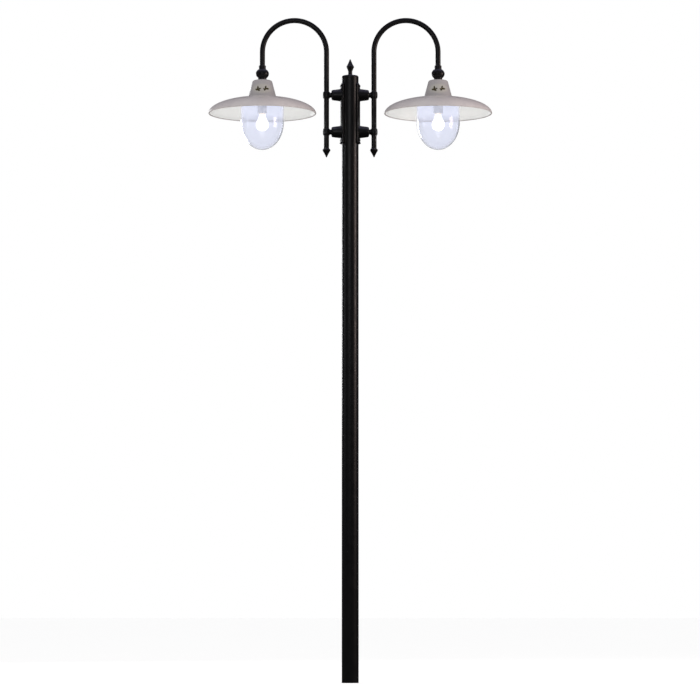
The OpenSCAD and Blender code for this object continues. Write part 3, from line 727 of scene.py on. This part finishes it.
def lampholder(side):
    """The porcelain lampholder, with two ring grooves and soft edges."""
    origin = foot_of("shade_" + side)
    outline = rounded([
        (15.1, 1, 0.4), (21.5, 1, 1), (23, 2.5, 1),
        (23, 19, 0.6), (22.2, 19.8, 0.6), (22.2, 22.2, 0.6), (23, 23, 0.6),
        (23, 41, 0.6), (22.2, 41.8, 0.6), (22.2, 44.2, 0.6), (23, 45, 0.6),
        (23, 60, 1.5), (21, 64, 3), (12.5, 78, 1.5), (6.8, 78, 0.5), (6.8, 66), (17, 64, 2), (17, 36),
    ])
    outline += [(0, 36), (0, 30), (15.1, 30)]
    piece("lampholder_china_" + side, lathe(outline, 96), origin, [PAINTS["porcelain"]],
          "arm_" + side, ["lampholder_" + side])


# The studio

def add_light(name, where, aim, size, power, colour):
    data = bpy.data.lights.new(name, "AREA")
    data.shape, data.size, data.size_y = "RECTANGLE", size[0], size[1]
    data.energy, data.color = power, colour
    obj = bpy.data.objects.new(name, data)
    bpy.context.scene.collection.objects.link(obj)
    obj.location = where
    obj.rotation_euler = (Vector(aim) - Vector(where)).to_track_quat("-Z", "Y").to_euler()


def studio():
    """A white room that reflections see as a dim one, as when a dark object is lit by a few soft boxes."""
    scene = bpy.context.scene
    scene.view_settings.view_transform = "Standard"
    world = bpy.data.worlds.new("studio")
    scene.world = world
    world.use_nodes = True
    tree = world.node_tree
    tree.nodes.clear()
    path = tree.nodes.new("ShaderNodeLightPath")
    way = tree.nodes.new("ShaderNodeTexCoord")
    split = tree.nodes.new("ShaderNodeSeparateXYZ")
    ramp = tree.nodes.new("ShaderNodeValToRGB")
    stops = ramp.color_ramp.elements
    dark, dusk, overhead = (0.012, 0.012, 0.012, 1), (0.045, 0.045, 0.06, 1), (0.21, 0.21, 0.30, 1)
    stops[0].position, stops[0].color = 0.0, dark
    stops[1].position, stops[1].color = 1.0, overhead
    stops.new(0.42).color = dark
    stops.new(0.65).color = dusk
    height = tree.nodes.new("ShaderNodeMapRange")
    height.inputs["From Min"].default_value = -1
    mirror_mix = tree.nodes.new("ShaderNodeMixShader")
    fill_mix = tree.nodes.new("ShaderNodeMixShader")
    output = tree.nodes.new("ShaderNodeOutputWorld")
    grounds = {}
    for key, strength in (("seen", 1.0), ("fill", 0.80), ("mirrored", 1.0)):
        grounds[key] = tree.nodes.new("ShaderNodeBackground")
        grounds[key].inputs["Color"].default_value = (1, 1, 1, 1)
        grounds[key].inputs["Strength"].default_value = strength
    link = tree.links.new
    link(way.outputs["Generated"], split.inputs[0])
    link(split.outputs["Z"], height.inputs["Value"])
    link(height.outputs["Result"], ramp.inputs["Fac"])
    link(ramp.outputs["Color"], grounds["mirrored"].inputs["Color"])
    link(path.outputs["Is Diffuse Ray"], fill_mix.inputs[0])
    link(grounds["seen"].outputs[0], fill_mix.inputs[1])
    link(grounds["fill"].outputs[0], fill_mix.inputs[2])
    mirrored = tree.nodes.new("ShaderNodeMath")
    mirrored.operation = "SUBTRACT"
    mirrored.use_clamp = True
    link(path.outputs["Is Glossy Ray"], mirrored.inputs[0])
    link(path.outputs["Is Transmission Ray"], mirrored.inputs[1])
    link(mirrored.outputs[0], mirror_mix.inputs[0])
    link(fill_mix.outputs[0], mirror_mix.inputs[1])
    link(grounds["mirrored"].outputs[0], mirror_mix.inputs[2])
    link(mirror_mix.outputs[0], output.inputs["Surface"])


def floor():
    reach, gap = 60, 0.0005
    mesh = bpy.data.meshes.new("studio_floor")
    corners = [(-reach, -reach, 0), (reach, -reach, 0), (reach, reach, 0), (-reach, reach, 0)]
    mesh.from_pydata(corners, [], [(0, 1, 2, 3)])
    mesh.materials.append(floor_paint())
    obj = bpy.data.objects.new("studio_floor", mesh)
    bpy.context.scene.collection.objects.link(obj)
    obj.location.z = cad_box[0].z - gap
    obj.visible_glossy = False


def camera():
    """A long lens, low down and tilted up a little, level with the front of the post."""
    distance, aside, height, tilt = 15.0, 0.001, 0.38, 4.5514
    data = bpy.data.cameras.new("camera")
    data.sensor_width, data.lens = 36, 162.8
    data.clip_end = 200
    obj = bpy.data.objects.new("camera", data)
    bpy.context.scene.collection.objects.link(obj)
    obj.location = (foot_of_pole.x - aside, foot_of_pole.y - distance, cad_box[0].z + height)
    obj.rotation_euler = (math.radians(90 + tilt), 0, 0)
    bpy.context.scene.camera = obj


foot_of_pole = foot_of("pole_tube")
camera()
studio()
floor()
lamp_height = foot_of("shade_right").z
centre = (0, 0, lamp_height)
add_light("warm_side", (4.8, -1.3, lamp_height + 0.2), centre, (1.5, 2.4), 72, (1.0, 0.80, 0.74))
add_light("soft_front", (-0.9, -5.0, lamp_height + 0.5), centre, (2.2, 1.6), 15, (0.97, 0.97, 1.0))
add_light("soft_back", (-2.6, 4.6, lamp_height + 0.2), centre, (1.2, 2.4), 60, (0.95, 0.97, 1.0))
add_light("soft_left", (-5.0, -0.6, lamp_height), centre, (0.8, 2.2), 9, (0.93, 0.95, 1.0))

paint_cad_nodes()
pole_cap()
pole_finial()
for way in SIDES:
    bracket(way)
    arm_tip(way)
    collar(way)
    knuckle(way)
    shade(way)
    for hand in (-1, 1):
        sprig(way, hand)
    globe(way)
    bulb(way)
    lampholder(way)
